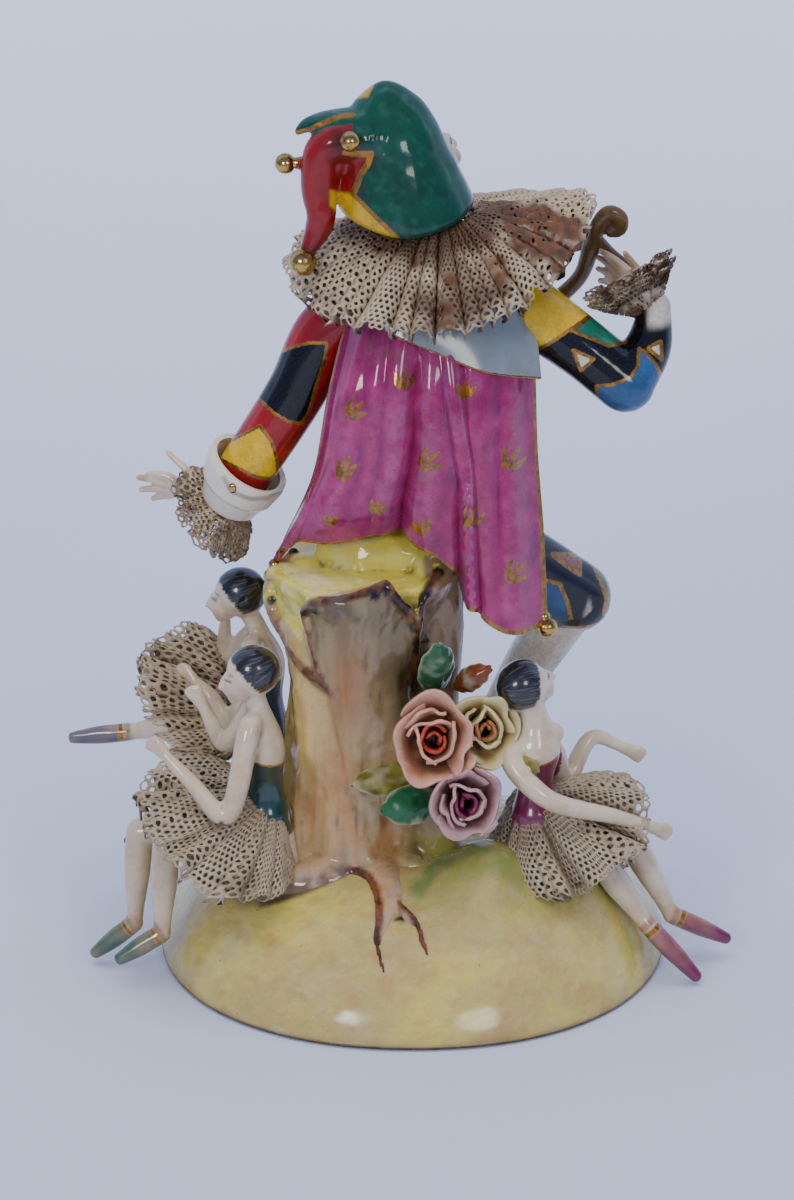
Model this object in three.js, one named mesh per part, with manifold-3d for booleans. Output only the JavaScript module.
// A porcelain group, 200 mm high: a jester in a cape and a lace ruff sits on a tree stump with a
// lute, three dancers in lace skirts sit round him, and roses grow at the stump. It was slip cast
// in moulds, joined wet and fired as one, so it is one closed solid. Millimetres, +Z up. The
// origin is the middle of the flat underside, and the jester looks along +Y.
import * as THREE from "three";
import { mergeVertices } from "three/addons/utils/BufferGeometryUtils.js";
import Module from "manifold-3d";

// Driving dimensions of the ground and the stump.
const BASE_HALF_WIDTH = 56.5;
const BASE_HALF_DEPTH = 56;
const BASE_SQUARENESS = 2.15;
const MOUND_RISE = 24;
const SEAT_HEIGHT = 92;
const STUMP_SINK = 5;

// Walls and small parts, each set by itself.
const CAPE_THICKNESS = 1.8;
const MANTLE_DEPTH = 15;
const LACE_THICKNESS = 1.3;
const PETAL_THICKNESS = 1.2;
const LEAF_THICKNESS = 1.4;
const CUFF_THICKNESS = 1.6;
const CUFF_RADIUS = 9.3;
const BELL_RADIUS = 2.5;
const RUFF_RADIUS = 33;
const RUFF_PLEATS = 26;
const SKIRT_PLEATS = 10;
const DANCER_HEAD_RADIUS = 5.6;

const X_AXIS = new THREE.Vector3(1, 0, 0);
const Y_AXIS = new THREE.Vector3(0, 1, 0);
const Z_AXIS = new THREE.Vector3(0, 0, 1);
const TURN = 2 * Math.PI;

const vec = (p) => new THREE.Vector3(p[0], p[1], p[2]);
const mix = (a, b, t) => a + (b - a) * t;
const between = (p, q, t) => p.map((c, n) => mix(c, q[n], t));
const add = (p, q) => p.map((c, n) => c + q[n]);
const wave = (turns) => Math.sin(TURN * turns);
const hump = (distance, width) => Math.exp(-(distance * distance) / (2 * width * width));

const wasm = await Module();
wasm.setup();

// A closed geometry as a solid that can be joined.
function solid(geometry) {
  const bare = geometry.index ? geometry.toNonIndexed() : geometry.clone();
  bare.deleteAttribute("normal");
  bare.deleteAttribute("uv");
  const merged = mergeVertices(bare, 1e-4);
  return new wasm.Manifold(
    new wasm.Mesh({
      numProp: 3,
      vertProperties: merged.attributes.position.array,
      triVerts: new Uint32Array(merged.index.array),
    }),
  );
}

// Solids joined to one. Clay fills the small pockets that they close off between them.
function joined(solids) {
  const shells = solids.reduce((all, s) => all.add(s)).decompose();
  return shells.filter((s) => s.volume() > 0).reduce((all, s) => all.add(s));
}

// A geometry from points and faces of three or four corners.
function faceted(points, faces) {
  const corners = [];
  for (const f of faces) {
    for (let i = 1; i + 1 < f.length; i += 1) corners.push(f[0], f[i], f[i + 1]);
  }
  const place = new Float32Array(corners.length * 3);
  corners.forEach((c, i) => points[c].toArray(place, i * 3));
  return new THREE.BufferGeometry().setAttribute("position", new THREE.BufferAttribute(place, 3));
}

// A skin over rings of points, closed at both ends on the rings' middles.
function skin(rings) {
  const sides = rings[0].length;
  const points = rings.flat();
  const faces = [];
  for (let k = 0; k + 1 < rings.length; k += 1) {
    for (let i = 0; i < sides; i += 1) {
      const j = (i + 1) % sides;
      faces.push([k * sides + i, k * sides + j, (k + 1) * sides + j, (k + 1) * sides + i]);
    }
  }
  const middle = (ring) => ring.reduce((s, p) => s.add(p), vec([0, 0, 0])).divideScalar(sides);
  const first = points.push(middle(rings[0])) - 1;
  const last = points.push(middle(rings.at(-1))) - 1;
  for (let i = 0; i < sides; i += 1) {
    const j = (i + 1) % sides;
    faces.push([first, j, i]);
    faces.push([last, (rings.length - 1) * sides + i, (rings.length - 1) * sides + j]);
  }
  return solid(faceted(points, faces));
}

// A tube along a smooth curve through points. A radius may be a pair: the half width along side,
// and the half width across it. Its ends are rounded, or blunt where round is false.
function limb(points, radii, { side = X_AXIS, sides = 7, steps = 3, round = true } = {}) {
  const curve = new THREE.CatmullRomCurve3(points.map(vec), false, "centripetal");
  const pairs = radii.map((r) => (Array.isArray(r) ? r : [r, r]));
  const last = pairs.length - 1;
  const ring = (t, shrink, shift) => {
    const along = curve.getTangent(t).normalize();
    const u = side.clone().addScaledVector(along, -side.dot(along)).normalize();
    const w = along.clone().cross(u);
    const k = Math.min(Math.floor(t * last), last - 1);
    const share = THREE.MathUtils.smoothstep(t * last - k, 0, 1);
    const [ru, rw] = [0, 1].map((n) => mix(pairs[k][n], pairs[k + 1][n], share));
    const centre = curve.getPoint(t).addScaledVector(along, shift * Math.min(ru, rw));
    return Array.from({ length: sides }, (_, i) => {
      const a = (TURN * i) / sides;
      return centre
        .clone()
        .addScaledVector(u, shrink * ru * Math.cos(a))
        .addScaledVector(w, shrink * rw * Math.sin(a));
    });
  };
  const rings = Array.from({ length: steps + 1 }, (_, i) => ring(i / steps, 1, 0));
  const ends = round ? [ring(0, 0.6, -0.75), ring(1, 0.6, 0.75)] : [];
  return skin(round ? [ends[0], ...rings, ends[1]] : rings);
}

// An ellipsoid.
function ball(centre, radii, sides = 8) {
  const [rx, ry, rz] = Array.isArray(radii) ? radii : [radii, radii, radii];
  const made = new THREE.SphereGeometry(1, sides, Math.round(sides * 0.6));
  made.rotateX(Math.PI / 2).scale(rx, ry, rz).translate(...centre);
  return solid(made);
}

// A sheet of even thickness over place(u, v), with u and v from 0 to 1. A closed sheet meets
// itself where u comes round.
function sheet(place, across, down, thickness, closed = false) {
  const columns = closed ? across : across + 1;
  const small = 1e-3;
  const skins = [[], []];
  for (let k = 0; k <= down; k += 1) {
    for (let i = 0; i < columns; i += 1) {
      const [u, v] = [i / across, k / down];
      const here = vec(place(u, v));
      const [u0, u1] = closed ? [u - small, u + small] : [Math.max(u - small, 0), Math.min(u + small, 1)];
      const [v0, v1] = [Math.max(v - small, 0), Math.min(v + small, 1)];
      const du = vec(place(u1, v)).sub(vec(place(u0, v)));
      const dv = vec(place(u, v1)).sub(vec(place(u, v0)));
      const out = du.cross(dv).normalize();
      skins[0].push(here.clone().addScaledVector(out, thickness / 2));
      skins[1].push(here.addScaledVector(out, -thickness / 2));
    }
  }
  const back = skins[0].length;
  const at = (i, k) => k * columns + (closed ? i % columns : i);
  const faces = [];
  for (let k = 0; k < down; k += 1) {
    for (let i = 0; i < across; i += 1) {
      const q = [at(i, k), at(i, k + 1), at(i + 1, k + 1), at(i + 1, k)];
      faces.push([...q].reverse(), q.map((c) => c + back));
    }
  }
  const rim = (a, b) => faces.push([b, a, a + back, b + back]);
  for (let i = 0; i < across; i += 1) {
    rim(at(i, 0), at(i + 1, 0));
    rim(at(i + 1, down), at(i, down));
  }
  for (let k = 0; !closed && k < down; k += 1) {
    rim(at(0, k + 1), at(0, k));
    rim(at(across, k), at(across, k + 1));
  }
  return solid(faceted([...skins[0], ...skins[1]], faces));
}

// Three directions at right angles, the last one along way.
function turned(way) {
  const w = vec(way).normalize();
  const u = (Math.abs(w.z) < 0.9 ? Z_AXIS : Y_AXIS).clone().cross(w).normalize();
  return [u, w.clone().cross(u), w];
}

// A place from a centre, at shares along three directions.
function off(centre, [u, v, w], a, b, c) {
  return vec(centre).addScaledVector(u, a).addScaledVector(v, b).addScaledVector(w, c).toArray();
}

// The ground: a low round mound with small rises under the dancers and in front of the stump.
const RISES = [
  { at: [17, -22], height: 11, width: 8 },
  { at: [40, -12], height: 11, width: 9 },
  { at: [-36, -12], height: 8, width: 9 },
  { at: [-33, 16], height: 16, width: 9 },
  { at: [-12, -20], height: 4, width: 12 },
];

function ground(x, y) {
  const [a, b] = [Math.abs(x / BASE_HALF_WIDTH), Math.abs(y / BASE_HALF_DEPTH)];
  const out = Math.pow(Math.pow(a, BASE_SQUARENESS) + Math.pow(b, BASE_SQUARENESS), 1 / BASE_SQUARENESS);
  const fall = Math.pow(Math.max(1 - Math.pow(out, 3.2), 0), 0.6);
  const rise = (r) => r.height * hump(Math.hypot(x - r.at[0], y - r.at[1]), r.width);
  return fall * (MOUND_RISE + RISES.reduce((sum, r) => sum + rise(r), 0));
}

const onGround = (x, y, up = 0) => [x, y, ground(x, y) + up];

function mound() {
  const sides = 24;
  const full = (c) => Math.sign(c) * Math.pow(Math.abs(c), 2 / BASE_SQUARENESS);
  const ring = (share, level) =>
    Array.from({ length: sides }, (_, i) => {
      const a = TURN * (i / sides);
      const x = BASE_HALF_WIDTH * share * full(Math.cos(a));
      const y = BASE_HALF_DEPTH * share * full(Math.sin(a));
      return vec([x, y, level ?? ground(x, y)]);
    });
  return skin([ring(1, 0), ...[0.985, 0.94, 0.85, 0.7, 0.5, 0.28].map((s) => ring(s))]);
}

// The stump: a trunk with bark ridges and a sawn top, a side trunk, torn bark and roots.
const STUMP_FOOT = MOUND_RISE - STUMP_SINK;
const STUMP_LEVELS = [
  { rise: 0, at: [-13.5, -5], half: [20, 20] },
  { rise: 0.14, at: [-14, -5], half: [16, 15.5] },
  { rise: 0.4, at: [-13.5, -4.5], half: [14.6, 14] },
  { rise: 0.66, at: [-12.5, -3.5], half: [15.5, 15.5] },
  { rise: 0.86, at: [-11.5, -2.5], half: [17.5, 18] },
  { rise: 1, at: [-11.5, -2], half: [20.5, 20.5] },
];
const onStump = (x, y, share) => [x, y, mix(STUMP_FOOT, SEAT_HEIGHT, share)];

function trunk() {
  const sides = 14;
  const ring = ({ rise, at, half }) =>
    Array.from({ length: sides }, (_, i) => {
      const a = TURN * (i / sides);
      const bark = 1 + 0.05 * Math.cos(5 * a + 9 * rise) + 0.04 * Math.cos(3 * a);
      return vec(onStump(at[0] + half[0] * bark * Math.cos(a), at[1] + half[1] * bark * Math.sin(a), rise));
    });
  return skin(STUMP_LEVELS.map(ring));
}

function bark() {
  const rolls = [
    [onStump(-26.5, -12, 0.7), onStump(-25, -17, 0.9), onStump(-20, -21, 0.97)],
    [onStump(-21, -20.5, 0.97), onStump(-12, -22.5, 1), onStump(-4, -20, 1.02)],
    [onStump(-5, -20.5, 1.02), onStump(-1, -18, 0.92), onStump(1, -13.5, 0.78)],
    [onStump(-31, -5, 1), onStump(-28.5, -9, 0.9), onStump(-22.5, -13, 0.66)],
  ];
  const side = [onStump(8, -5, 0.98), onStump(9, -7, 0.8), onStump(10, -6, 0.6), onStump(7, -8, 0.12)];
  return joined([
    ...rolls.map((r) => limb(r, [1.2, 1.8, 1.2], { sides: 5, round: false })),
    limb(side, [6, 6.2, 4.5, 6]),
  ]);
}

function roots() {
  const run = (line, radii) =>
    limb(line.map(([x, y]) => onGround(x, y)), radii, { sides: 5, round: false });
  return joined([
    run([[-12, -16], [-10, -25], [-8, -34], [-6.5, -45]], [6, 3, 1.8, 0.9]),
    run([[-4, -16], [-3.5, -27], [0, -35], [2, -41]], [7, 5, 2, 0.9]),
    run([[-21, -10], [-28, -20], [-34, -24]], [6, 3.5, 1.4]),
    run([[0, -12], [8, -24], [12, -29]], [6, 3, 1.2]),
  ]);
}

// The jester. Every place is from the middle of the seat, at the top of the stump.
const SEAT = [-3, 16, SEAT_HEIGHT];
const seated = (points) => points.map((p) => add(p, SEAT));

function jesterBody() {
  const spine = seated([[2, 3, 3], [4, 0, 20], [7, -4, 42], [9, -7, 58]]);
  const neck = seated([[9, -7, 60], [4, -8, 80]]);
  return joined([
    limb(spine, [[15, 12], [11.5, 9.5], [15.5, 9.5], [11, 8]], { sides: 12, steps: 5 }),
    limb(neck, [5.5, 5], { steps: 1, round: false }),
  ]);
}

function jesterArms() {
  const left = seated([[-8, -7, 56], [-16, -7.5, 50], [-22.3, -8, 36.8], [-34.5, -7.2, 16.5]]);
  const right = seated([[27, -7, 56], [40, -11, 47.5], [49, -13, 40.5]]);
  const forearm = seated([[49, -13, 40.5], [54, -9, 47.5], [55.5, -5.5, 55]]);
  return joined([
    limb(left, [7.2, 6.8, 6.4, 6], { side: Y_AXIS, steps: 4, round: false }),
    limb(right, [7.4, 6.6, 6.4], { side: Y_AXIS }),
    limb(forearm, [6.4, 5, 3.6], { side: Y_AXIS, round: false }),
  ]);
}

// A hand: a palm, fingers that fan out and a thumb.
function hand([wrist, palm, thumb, ...tips]) {
  const finger = (tip) => limb([palm, tip], [1.6, 0.8], { sides: 4, steps: 1, round: false });
  return joined([
    limb([wrist, palm], [2.4, 2.8], { sides: 5, steps: 1, round: false }),
    ...tips.map(finger),
    limb([wrist, thumb], [1.8, 0.8], { sides: 4, steps: 1, round: false }),
  ]);
}

function jesterHands() {
  return joined([
    hand(seated([
      [-40, -4, 12], [-49, -1, 11.5], [-51, 0, 19], [-57.5, 2, 12.5], [-57, 2, 9.5], [-54.3, 2, 7.5],
    ])),
    hand(seated([[55, -5, 55], [51, 0, 60], [45, 3, 58], [43, 7, 65], [44, 8, 61.5], [45, 8, 58]])),
  ]);
}

function jesterLegs() {
  const knees = seated([[40, 18, -23], [-11, 27, -20]]);
  const hips = seated([[10, 3, 1], [-5, 4, 1]]);
  const leg = (hip, knee, heel, toe) => {
    const thigh = between(hip, knee, 0.55);
    const calf = add(between(knee, heel, 0.4), [0, 2.5, 0]);
    return joined([
      limb([hip, thigh, knee], [10, 9.3, 8.4]),
      limb([knee, calf, heel], [6.6, 5.6, 3.2], { round: false }),
      limb([heel, toe], [3.6, 2.4], { sides: 5, steps: 1 }),
    ]);
  };
  return joined([
    leg(hips[0], knees[0], onGround(11, 40, 3), onGround(13, 49, 1)),
    leg(hips[1], knees[1], onGround(-11, 40, 3), onGround(-14, 48, 1)),
  ]);
}

// The head, thrown back to the right: a plain face under a hood whose horns end in bells.
const FACE_WAY = [0.64, 0.62, 0.46];

// The hood's rings from inside its rim to its peak. The rim hangs lower at the back.
const HOOD = [
  { x: 1.5, z: 76.5, half: 8, hang: 2 },
  { x: 1.4, z: 79.8, half: 14.8, hang: 3 },
  { x: 0.7, z: 83, half: 14.5, hang: 1.6 },
  { x: -0.9, z: 90.5, half: 12.5, hang: 0 },
  { x: -2, z: 98.2, half: 9.7, hang: 0 },
  { x: -2.5, z: 103, half: 6.6, hang: 0 },
  { x: -2.7, z: 106.2, half: 2.9, hang: 0 },
  { x: -3, z: 107.6, half: 0.7, hang: 0 },
];

function hood() {
  const sides = 10;
  const depth = 0.93;
  const ring = ({ x, z, half, hang }) =>
    Array.from({ length: sides }, (_, i) => {
      const [across, back] = [Math.cos((TURN * i) / sides), Math.sin((TURN * i) / sides)];
      const drop = hang * Math.max(-back, 0) ** 2;
      return vec(seated([[x + half * across, -7 + depth * half * back, z - drop]])[0]);
    });
  return skin(HOOD.map(ring));
}

function jesterHead() {
  const [face] = seated([[5.5, -4, 89]]);
  const frame = turned(FACE_WAY);
  return joined([
    hood(),
    ball(face, 8.7),
    ball(off(face, frame, 0, 0, 8.6), [1.6, 1.6, 2.2], 5),
    ball(off(face, frame, 0, -5.5, 5.6), 3, 5),
  ]);
}

function hoodHorns() {
  const long = seated([
    [-5, -12, 95.5], [-12.5, -13, 95.3], [-16.8, -13, 91], [-17, -13, 84], [-16.6, -14, 79], [-19.4, -15, 72],
  ]);
  const stub = seated([[-15, -12, 90], [-22.5, -10, 89.4]]);
  const crest = seated([[-5, -10, 100.5], [-13, -10, 99.9], [-18.8, -10, 98.5], [-21.6, -10, 96.6]]);
  return joined([
    limb(long, [5.4, 4.6, 4, 3.8, 3.2, 1.8], { steps: 6 }),
    limb(stub, [3, 1.4], { sides: 5, steps: 1 }),
    limb(crest, [[4, 1.8], [3.6, 1.6], [2.6, 1.5], [1, 1]], { side: Y_AXIS, sides: 6 }),
  ]);
}

function bells() {
  const places = seated([
    [-24.4, -10, 89.5], [-20.7, -16, 69.4], [-10.4, -18, 97], [-27.5, -17, -3], [32.5, -23, -12.5],
  ]);
  return joined(places.map((p) => ball(p, BELL_RADIUS, 5)));
}

// The lace ruff: a pleated ring that hangs lowest over the back and lies flat at the right.
const [NECK_MIDDLE] = seated([[9, -7, 76.5]]);

function ruffDroop(angle) {
  return 10.9 - 6.2 * Math.cos(angle) - 5 * Math.sin(angle) - 3.1 * Math.cos(2 * angle);
}

function ruffPlace(u, v) {
  const angle = TURN * u;
  const droop = ruffDroop(angle) * Math.pow(v, 1.3);
  const slope = ruffDroop(angle) / RUFF_RADIUS;
  const pleat = (2.2 * Math.pow(v, 0.8) * wave(RUFF_PLEATS * u + 0.25)) / Math.hypot(1, slope);
  const reach = mix(7, RUFF_RADIUS * (1 + 0.03 * wave(3 * u)), v) + pleat * slope;
  const depth = Math.sin(angle) < 0 ? 0.84 : 0.82;
  return add([reach * Math.cos(angle), depth * reach * Math.sin(angle), 1 - droop + pleat], NECK_MIDDLE);
}

const ruff = () => sheet(ruffPlace, RUFF_PLEATS * 2, 1, LACE_THICKNESS, true);

// The cape: a patch between its top, its hem and its two edges, blown out over the back and
// thrown into folds that grow towards the hem.
function curveOf(points) {
  const curve = new THREE.CatmullRomCurve3(seated(points).map(vec), false, "centripetal");
  return (t) => curve.getPoint(t);
}

const CAPE_CORNERS = [[-11, -13, 55], [29, -17, 46], [-28, -17, -2], [32, -24, -12.5]];
const capeTop = curveOf([CAPE_CORNERS[0], [-3, -20, 57], [8, -21, 56], [20, -21, 52], CAPE_CORNERS[1]]);
const capeHem = curveOf([
  CAPE_CORNERS[2], [-23.5, -19.5, 4.5], [-13, -21, 6.5], [-3, -22, 9.3], [4.5, -24, 7],
  [12, -27, 1], [16, -28, -6], [22, -29, -11.5], CAPE_CORNERS[3],
]);
const capeLeft = curveOf([CAPE_CORNERS[0], [-15, -19, 39], [-18.5, -19.5, 20], [-24.5, -19.5, 6], CAPE_CORNERS[2]]);
const capeRight = curveOf([CAPE_CORNERS[1], [29.5, -18, 27], [31, -21, 8], CAPE_CORNERS[3]]);
const FOLDS = [
  { from: 0.12, to: 0.22, width: 0.05, rise: 2.2 },
  { from: 0.34, to: 0.36, width: 0.06, rise: 2 },
  { from: 0.5, to: 0.5, width: 0.05, rise: 2.4 },
  { from: 0.55, to: 0.68, width: 0.06, rise: 3 },
  { from: 0.86, to: 0.88, width: 0.05, rise: 2.2 },
];

function capePlace(u, v) {
  const [a, b, c, d] = seated(CAPE_CORNERS).map(vec);
  const point = capeTop(u).multiplyScalar(1 - v).addScaledVector(capeHem(u), v);
  point.addScaledVector(capeLeft(v), 1 - u).addScaledVector(capeRight(v), u);
  point.addScaledVector(a, -(1 - u) * (1 - v)).addScaledVector(b, -u * (1 - v));
  point.addScaledVector(c, -(1 - u) * v).addScaledVector(d, -u * v);
  const fold = FOLDS.reduce((sum, f) => sum + f.rise * hump(u - mix(f.from, f.to, v), f.width), 0);
  point.y -= 3.5 * Math.sin(Math.PI * u) * Math.sin(Math.PI * v * 0.9);
  point.y -= (fold - 1) * Math.sqrt(v) * 0.9;
  return point.toArray();
}

const cape = () => sheet(capePlace, 11, 5, CAPE_THICKNESS);

// The clay between the cape and the back, as deep as the cape stands off. It stops short of the
// cape's edges, which hang free.
const mantlePlace = (u, v) =>
  add(capePlace(mix(0.12, 0.88, u), mix(0.04, 0.8, v)), [0, MANTLE_DEPTH / 2, 0]);
const mantle = () => sheet(mantlePlace, 5, 3, MANTLE_DEPTH);

// The broad collar under the ruff, at the right shoulder.
const collarTop = curveOf([[-2, -15, 63], [9, -17, 64], [22, -14, 60], [29, -9, 56]]);
const collarEdge = curveOf([[-3, -22, 55], [6, -24.5, 52], [17, -24.5, 47.5], [30, -16, 43.5]]);
const collar = () =>
  sheet((u, v) => collarTop(u).lerp(collarEdge(u), v).toArray(), 5, 2, CAPE_THICKNESS);

// The sleeves end in a turned cuff and in flared lace.
function flare(centre, way, [near, far, length], pleats = 0) {
  const frame = turned(way);
  return (t, v) => {
    const fan = mix(near, far, v) + (pleats ? 1.6 * v * wave(pleats * t + 0.25) : 0);
    return off(centre, frame, fan * Math.cos(TURN * t), fan * Math.sin(TURN * t), length * v);
  };
}

const LACE_PLEATS = 6;
const lace = (place) => sheet(place, LACE_PLEATS * 2, 1, LACE_THICKNESS, true);

function cuffs() {
  const [sleeve, wrist, rightWrist] = seated([[-33.4, -7.5, 18.5], [-38, -5, 8.5], [53, -5, 56]]);
  const leftWay = add(wrist, sleeve.map((c) => -c));
  return joined([
    sheet(flare(sleeve, leftWay, [CUFF_RADIUS, CUFF_RADIUS * 0.66, 10]), 10, 1, CUFF_THICKNESS, true),
    limb([sleeve, wrist], [6.5, 5], { steps: 1, round: false }),
    lace(flare(wrist, [-0.75, 0.3, -0.6], [3, 10.5, 5], LACE_PLEATS)),
    limb([wrist, between(wrist, seated([[-49, -1, 11.5]])[0], 0.4)], [4, 3], { sides: 5, steps: 1, round: false }),
    lace(flare(rightWrist, [-0.35, 0.35, 0.87], [3, 8.5, 5.5], LACE_PLEATS)),
  ]);
}

// The lute lies against the belly, with its neck up to the right hand and a curled head.
function lute() {
  const body = seated([[2, 11, 8], [8, 14, 17], [16, 14, 32]]);
  const neck = seated([[15, 14, 32], [30, 14, 46], [39.5, 11, 56], [42.5, 8, 67]]);
  const scroll = seated([[42.5, 8, 67], [44, 5, 73.5], [48.5, 5, 74], [48.5, 5.5, 70], [45.5, 5.5, 70]]);
  return joined([
    limb(body, [[9, 4], [11, 5.5], [4, 3]], { sides: 9 }),
    limb(neck, [2.6, 2, 1.8, 2.1], { sides: 5, round: false }),
    limb(scroll, [2.1, 1.9, 1.8, 1.5, 1.3], { sides: 5, steps: 5, round: false }),
  ]);
}

// The dancers sit on the ground. Places are from the top of the seat. An arm runs from the
// shoulder to the finger tips, and a leg from the hip to the toes.
const DANCERS = [
  {
    seat: [-32.5, -15.5], lift: 9.5, faces: [-0.95, -0.1, -0.15],
    neck: [-1.5, -1.5, 28], head: [-3, -2, 36],
    arms: [
      [[-3, -6, 25], [-8.5, -11.5, 6], [-16, -9, 13], [-21.6, -6.5, 18.4]],
      [[-3, 3, 25], [-9, 7, 15], [-14, 8, 24]],
    ],
    legs: [
      [[-3, -2, 0], [-22, -5, -5], [-23, -6.5, -25], [-32.5, -8.5, -30.5]],
      [[-3, 4, 1], [-28, 2.5, -4.5], [-29.5, 1.5, -26.5], [-38.5, 1.5, -34]],
    ],
    skirt: { middle: [-11, -2.5, -2], up: [0.42, -0.3, 0.85], reach: 20 },
  },
  {
    seat: [-33, 14], lift: 10, faces: [-0.95, 0.05, -0.1],
    neck: [-1.5, -1, 25.5], head: [-6, 0, 34],
    arms: [
      [[-3, -6, 23], [-7, -9, 5], [-12, -7, 12], [-15.8, -5, 15]],
      [[-3, 3, 23], [-9, 7, 15], [-9, 6, 26]],
    ],
    legs: [
      [[-3, -2, 0], [-17, -2, 3], [-31, 6, -2.5], [-44, 6, -4]],
      [[-3, 3, 0], [-19, 8, -6], [-23, 10, -24], [-32, 10, -32]],
    ],
    skirt: { middle: [-16, -3, 10.5], up: [0.55, -0.5, 0.7], reach: 16 },
  },
  {
    seat: [27, -14], lift: 7.5, faces: [0.9, -0.1, 0.3],
    neck: [-0.5, -0.5, 24], head: [-2.5, 0, 32.5],
    arms: [
      [[-5.4, -6, 17.5], [2, -10.5, 10], [17, -6, 3.5], [25.5, -3, -0.5]],
      [[4, 5, 14], [7, 11, 4], [13, 16, 12.5], [20.2, 18, 9]],
    ],
    legs: [
      [[2, -2, -2], [15, -4, -9], [24.4, -7, -22], [36, -10, -34]],
      [[3, 3, -1], [21, 3, -5.5], [30.8, 2, -24.5], [43.3, 3, -31]],
    ],
    skirt: { middle: [8, 0, -4.5], up: [-0.3, -0.4, 0.86], reach: 18 },
  },
];

function skirtPlace(seat, { middle, up, reach }) {
  const frame = turned(up);
  const waist = add(seat, [0, 0, 5]);
  const hem = add(seat, middle);
  return (u, v) => {
    const fan = mix(3.5, reach * (1 + 0.05 * wave(2 * u)), v);
    const pleat = 1.7 * v * wave(SKIRT_PLEATS * u + 0.25);
    const centre = between(waist, hem, Math.pow(v, 1.2));
    return off(centre, frame, fan * Math.cos(TURN * u), fan * Math.sin(TURN * u), pleat);
  };
}

function dancer({ seat: [x, y], lift, faces, neck, head, arms, legs, skirt }) {
  const seat = onGround(x, y, lift);
  const own = (points) => points.map((p) => add(p, seat));
  const [nape, crown] = own([neck, head]);
  const spine = own([[0, 0, 1], [0, 0, 9], [-0.3, -0.5, 18]]);
  const r = DANCER_HEAD_RADIUS;
  const chin = off(crown, turned(faces), 0, -0.2 * r, 0.5 * r);
  const leg = (line) => [
    limb(own(line.slice(0, 3)), [4, 3.4, 1.9], { sides: 5, round: false }),
    limb(own(line.slice(2)), [2.3, 1.3], { sides: 5, steps: 1, round: false }),
  ];
  return joined([
    limb([...spine, nape, crown], [[5.4, 5], [3.7, 3.5], [4.6, 5.8], [2.4, 3], 2.2], { steps: 5 }),
    ball(crown, r, 6),
    ball(chin, 0.74 * r, 5),
    ...arms.map((line) => limb(own(line), [2.3, 2, 1.7, 1.1], { sides: 4, round: false })),
    ...legs.flatMap(leg),
    limb([onGround(x, y, -4), add(seat, [0, 0, 1])], [9, 5.5], { sides: 5, steps: 1, round: false }),
    sheet(skirtPlace(seat, skirt), SKIRT_PLEATS * 2, 1, LACE_THICKNESS, true),
  ]);
}

// Roses of two scalloped rings of petals round a bud, on short stems against the stump. Their
// heights are shares of the stump's.
const ROSES = [
  { at: onStump(3.4, -26, 0.603), radius: 9.4, way: [0.05, -0.95, 0.3], stem: onStump(0, -10, 0.521) },
  { at: onStump(17.5, -20, 0.567), radius: 7.4, way: [0.3, -0.9, 0.25], stem: onStump(7, -7, 0.479) },
  { at: onStump(12, -28, 0.404), radius: 8, way: [0.2, -0.95, 0.15], stem: onStump(6, -12, 0.315) },
];

function rose({ at, radius, way, stem }) {
  const frame = turned(way);
  const cup = (size, scallops, deep) => (u, v) => {
    const fan = size * Math.sin(0.35 + 1.2 * v) * (1 + 0.08 * v * wave(scallops * u));
    return off(at, frame, fan * Math.cos(TURN * u), fan * Math.sin(TURN * u), deep + size * 0.75 * v);
  };
  return joined([
    sheet(cup(radius, 5, -0.5 * radius), 10, 2, PETAL_THICKNESS, true),
    sheet(cup(0.6 * radius, 3, -0.3 * radius), 6, 1, PETAL_THICKNESS, true),
    limb([off(at, frame, 0, 0, 0.2 * radius), stem], [0.3 * radius, 4], { sides: 5, steps: 1, round: false }),
  ]);
}

const LEAVES = [
  { from: onStump(5, -11, 0.616), to: onStump(5, -23, 0.856), width: 8, face: [0.3, -1, 0] },
  { from: onStump(4, -15, 0.452), to: onStump(-12.5, -26, 0.421), width: 7, face: [0, -0.6, 0.8] },
  { from: onStump(7, -20, 0.342), to: onStump(-6.5, -29, 0.356), width: 8, face: [0, -0.9, 0.4] },
  { from: onStump(9, -13, 0.658), to: onStump(17, -16, 0.74), width: 6, face: [0, -0.8, 0.5] },
];

function leaf({ from, to, width, face }) {
  const along = vec(to).sub(vec(from));
  const side = along.clone().cross(vec(face)).normalize();
  const lift = side.clone().cross(along).normalize();
  const place = (u, v) => {
    const half = width * (u - 0.5) * (0.22 + Math.sin(Math.PI * Math.pow(v, 0.8)));
    return off(from, [side, lift, along], half, -0.35 * Math.abs(half), v);
  };
  return sheet(place, 2, 3, LEAF_THICKNESS);
}

// A solid as a geometry of flat faces.
function geometryOf(made) {
  const { vertProperties, triVerts } = made.getMesh();
  const geometry = new THREE.BufferGeometry();
  geometry.setAttribute("position", new THREE.BufferAttribute(new Float32Array(vertProperties), 3));
  geometry.setIndex(new THREE.BufferAttribute(new Uint32Array(triVerts), 1));
  const flat = geometry.toNonIndexed();
  flat.computeVertexNormals();
  return flat;
}

const porcelain = new THREE.MeshStandardMaterial({ color: 0xd9cfae, roughness: 0.25, metalness: 0 });
const everything = joined([
  mound(), trunk(), bark(), roots(), jesterBody(), jesterArms(), jesterHands(), jesterLegs(),
  jesterHead(), hoodHorns(), bells(), ruff(), cape(), mantle(), collar(), cuffs(), lute(),
  ...DANCERS.map(dancer), ...ROSES.map(rose), ...LEAVES.map(leaf),
]);
const figure = new THREE.Mesh(geometryOf(everything), porcelain);
figure.name = "jester_and_dancers";

const group = new THREE.Group();
group.add(figure);
export default group;
